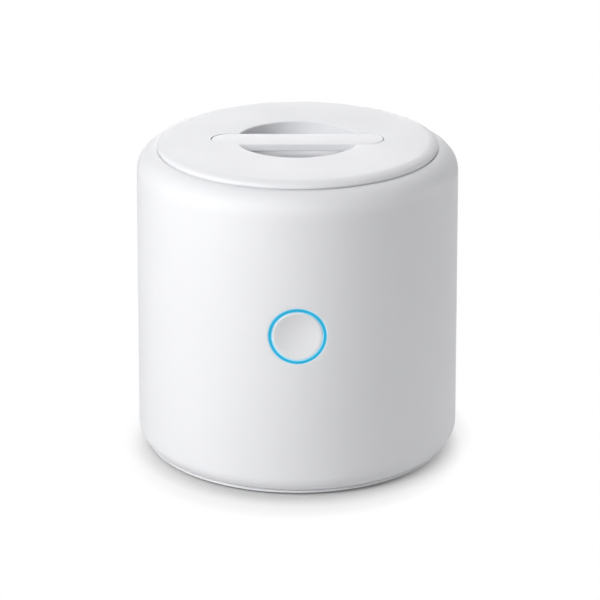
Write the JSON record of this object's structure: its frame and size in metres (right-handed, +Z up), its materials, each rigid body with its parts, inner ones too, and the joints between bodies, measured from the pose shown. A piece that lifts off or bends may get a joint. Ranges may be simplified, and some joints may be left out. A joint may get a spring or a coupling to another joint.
{
  "type": "uv sterilizer",
  "caption": "Squat round sterilizer with a lift-off lid, a finger well crossed by a grip bar, a steel chamber lit by UV from below, and a lit ring round a push button.",
  "frame": {"origin": "on the table under the middle of the round body", "axes": "+Z up through the lid, -Y towards the push button, +X to the right as seen from the front"},
  "size_m": [0.1208, 0.1208, 0.1173],
  "materials": {
    "white_shell": "satin moulded plastic",
    "white_grip": "satin moulded plastic",
    "white_button": "fine matt moulded plastic",
    "white_inner": "smooth reflecting plastic",
    "light_guide": "clear guide lit cyan blue",
    "foot_rubber": "matt rubber",
    "seal_silicone": "soft silicone",
    "liner_steel": "polished drawn steel",
    "rack_steel": "polished sheet steel",
    "screw_steel": "zinc plated",
    "quartz": "clear quartz",
    "frame_plastic": "plain moulded plastic",
    "circuit_board": "solder mask",
    "lamp_board": "white coated metal-core board",
    "chip_black": "moulded package",
    "plug_plastic": "natural nylon",
    "led_package": "ceramic package",
    "sink_aluminium": "extruded",
    "cell_wrap": "shrink wrap",
    "socket_metal": "stamped shell",
    "lead_sheath": "sheathed pair",
    "magnet_nickel": "nickel plated",
    "plunger_plastic": "switch plunger"
  },
  "bodies": {
    "housing": {"body_shell": "white_shell", "base_cover": "white_shell", "light_ring": "light_guide", "rubber_feet": "foot_rubber", "window_seal": "seal_silicone", "chamber_liner": "liner_steel", "base_screws": "screw_steel", "clamp_ring_screws": "screw_steel", "heat_sink_nuts": "screw_steel", "battery_clamp_screws": "screw_steel", "main_board_screws": "screw_steel", "button_board_screws": "screw_steel", "quartz_window": "quartz", "liner_clamp_ring": "frame_plastic", "lamp_housing": "frame_plastic", "battery_cradle": "frame_plastic", "battery_clamp": "frame_plastic", "main_board": "circuit_board", "button_board": "circuit_board", "uv_board": "lamp_board", "board_chips": "chip_black", "lid_sensor": "chip_black", "switch_body": "chip_black", "lead_headers": "plug_plastic", "uv_leds": "led_package", "ring_leds": "led_package", "heat_sink": "sink_aluminium", "battery_cells": "cell_wrap", "usb_socket": "socket_metal", "lamp_lead": "lead_sheath", "button_lead": "lead_sheath", "battery_lead": "lead_sheath", "sensor_lead": "lead_sheath"},
    "lid": {"lid_cover": "white_shell", "grip_bar": "white_grip", "grip_bar_screws": "screw_steel", "lid_inner_cover": "white_inner", "lid_inner_screws": "screw_steel", "lid_seal": "seal_silicone", "lid_magnet": "magnet_nickel"},
    "button": {"button_cap": "white_button"},
    "plunger": {"switch_plunger": "plunger_plastic"},
    "rack": {"rack": "rack_steel"}
  },
  "joints": [
    {"name": "lid_lift", "type": "slide", "parent": "housing", "child": "lid", "axis": [0, 0, 1], "range_m": [0, 0.1]},
    {"name": "button_press", "type": "slide", "parent": "housing", "child": "button", "axis": [0, 1, 0], "range_m": [0, 0.0005], "stiffness_N_per_m": 1500, "springref_m": -0.0004},
    {"name": "plunger_press", "type": "slide", "parent": "housing", "child": "plunger", "axis": [0, 1, 0], "range_m": [0, 0.0005]},
    {"name": "rack_lift", "type": "slide", "parent": "housing", "child": "rack", "axis": [0, 0, 1], "range_m": [0, 0.045]}
  ],
  "couplings": [
    {"joint": "plunger_press", "follows": "button_press", "ratio": 1}
  ]
}
